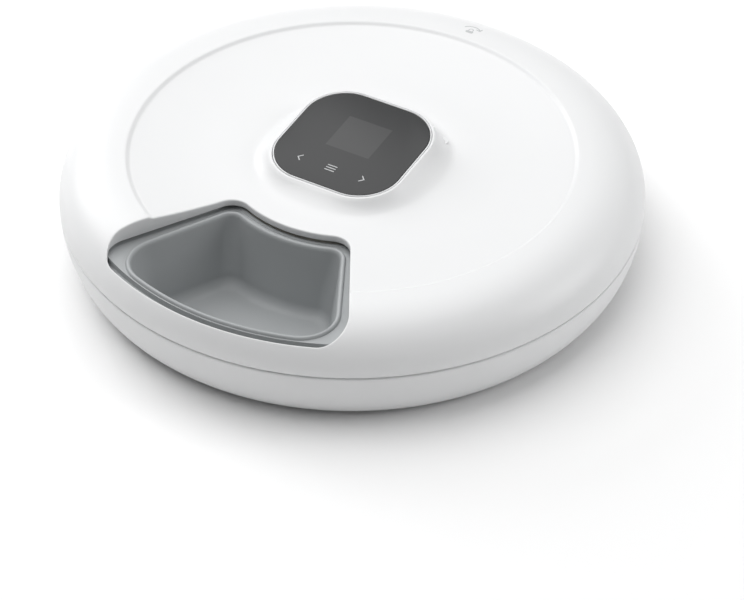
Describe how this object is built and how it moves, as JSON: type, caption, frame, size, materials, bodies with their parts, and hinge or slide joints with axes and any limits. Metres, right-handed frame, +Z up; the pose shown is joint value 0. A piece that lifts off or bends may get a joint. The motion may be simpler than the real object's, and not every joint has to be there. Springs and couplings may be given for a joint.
{
  "type": "automatic pet feeder",
  "caption": "Round automatic pet feeder: a motor turns a divided food tray under a twist-on lid with one serving window and a tilted touch panel.",
  "frame": {"origin": "on the floor under the middle of the base, level with the undersides of the rubber feet", "axes": "+Z up; the serving window of the lid faces -Y at rest; +X is to the right seen from the window"},
  "size_m": [0.32, 0.32, 0.0701],
  "materials": {
    "shell_white": "satin moulded ABS",
    "inner_white": "matt moulded ABS",
    "tray_grey": "satin moulded polypropylene",
    "bezel_white": "satin moulded ABS",
    "panel_glass": "gloss back-printed acrylic",
    "lcd_grey": "unlit liquid crystal display",
    "foot_rubber": "matt",
    "acetal": "satin moulded acetal",
    "black_plastic": "satin",
    "circuit_board": "solder resist on glass fibre board",
    "cell_sleeve": "plain printed sleeve over steel",
    "lead_sleeve": "satin sleeve over wire",
    "steel": "zinc plated",
    "brass": "machined"
  },
  "bodies": {
    "base": {"base_shell": "shell_white", "rubber_foot_1": "foot_rubber", "rubber_foot_2": "foot_rubber", "rubber_foot_3": "foot_rubber", "rubber_foot_4": "foot_rubber", "battery_box": "inner_white", "battery_cell_1": "cell_sleeve", "battery_cell_2": "cell_sleeve", "battery_cell_3": "cell_sleeve", "battery_spring_1": "steel", "battery_spring_2": "steel", "battery_spring_3": "steel", "contact_strip": "steel", "hub_tower": "inner_white", "index_sensor": "black_plastic", "hub_screw_1": "steel", "hub_screw_2": "steel", "hub_screw_3": "steel", "hub_screw_4": "steel", "main_board": "circuit_board", "power_socket": "black_plastic", "drive_motor": "steel", "gearhead": "brass", "gear_bracket": "steel", "bracket_screw_1": "steel", "bracket_screw_2": "steel", "idler_axle": "steel", "roller_axle_1": "steel", "roller_axle_2": "steel", "roller_axle_3": "steel", "roller_axle_4": "steel", "socket_lead": "lead_sleeve", "motor_lead": "lead_sleeve"},
    "carousel": {"carousel_ring": "acetal", "food_tray": "tray_grey"},
    "idler": {"idler_gear": "acetal"},
    "motor_output": {"motor_shaft": "steel", "motor_pinion": "brass"},
    "roller_1": {"rim_roller_1": "acetal"},
    "roller_2": {"rim_roller_2": "acetal"},
    "roller_3": {"rim_roller_3": "acetal"},
    "roller_4": {"rim_roller_4": "acetal"},
    "door": {"battery_door": "shell_white"},
    "swivel": {"swivel_socket": "black_plastic"},
    "pin_1": {"contact_pin_1": "brass"},
    "pin_2": {"contact_pin_2": "brass"},
    "lid": {"lid_shell": "shell_white", "lid_liner": "inner_white", "liner_screw_1": "steel", "liner_screw_2": "steel", "liner_screw_3": "steel", "liner_screw_4": "steel", "contact_pad": "circuit_board", "panel_bezel": "bezel_white", "panel_glass": "panel_glass", "lcd_display": "lcd_grey", "control_board": "circuit_board", "buzzer": "black_plastic"}
  },
  "joints": [
    {"name": "carousel_turn", "type": "hinge", "parent": "base", "child": "carousel", "pos_m": [0, 0, 0.045], "axis": [0, 0, 1], "continuous": true},
    {"name": "idler_spin", "type": "hinge", "parent": "base", "child": "idler", "pos_m": [0, 0.054, 0.045], "axis": [0, 0, 1], "continuous": true},
    {"name": "motor_spin", "type": "hinge", "parent": "base", "child": "motor_output", "pos_m": [0, 0.0375, 0.045], "axis": [0, 0, 1], "continuous": true},
    {"name": "roller_1_spin", "type": "hinge", "parent": "base", "child": "roller_1", "pos_m": [0.10698, 0.10698, 0.0404], "axis": [0.7071, 0.7071, 0], "continuous": true},
    {"name": "roller_2_spin", "type": "hinge", "parent": "base", "child": "roller_2", "pos_m": [-0.10698, 0.10698, 0.0404], "axis": [-0.7071, 0.7071, 0], "continuous": true},
    {"name": "roller_3_spin", "type": "hinge", "parent": "base", "child": "roller_3", "pos_m": [-0.10698, -0.10698, 0.0404], "axis": [-0.7071, -0.7071, 0], "continuous": true},
    {"name": "roller_4_spin", "type": "hinge", "parent": "base", "child": "roller_4", "pos_m": [0.10698, -0.10698, 0.0404], "axis": [0.7071, -0.7071, 0], "continuous": true},
    {"name": "lid_twist", "type": "hinge", "parent": "base", "child": "swivel", "pos_m": [0, 0, 0.05], "axis": [0, 0, 1], "range_deg": [-15, 0]},
    {"name": "lid_lift", "type": "slide", "parent": "swivel", "child": "lid", "axis": [0, 0, 1], "range_m": [0, 0.12]},
    {"name": "pin_1_press", "type": "slide", "parent": "swivel", "child": "pin_1", "axis": [0, 0, -1], "range_m": [0, 0.0012], "stiffness_N_per_m": 300},
    {"name": "pin_2_press", "type": "slide", "parent": "swivel", "child": "pin_2", "axis": [0, 0, -1], "range_m": [0, 0.0012], "stiffness_N_per_m": 300},
    {"name": "battery_door_hinge", "type": "hinge", "parent": "base", "child": "door", "pos_m": [0, -0.0331, 0.0041], "axis": [-1, 0, 0], "range_deg": [0, 100]}
  ],
  "couplings": [
    {"joint": "idler_spin", "follows": "carousel_turn", "ratio": 7},
    {"joint": "motor_spin", "follows": "carousel_turn", "ratio": -8.4},
    {"joint": "roller_1_spin", "follows": "carousel_turn", "ratio": -37.825},
    {"joint": "roller_2_spin", "follows": "carousel_turn", "ratio": -37.825},
    {"joint": "roller_3_spin", "follows": "carousel_turn", "ratio": -37.825},
    {"joint": "roller_4_spin", "follows": "carousel_turn", "ratio": -37.825}
  ]
}
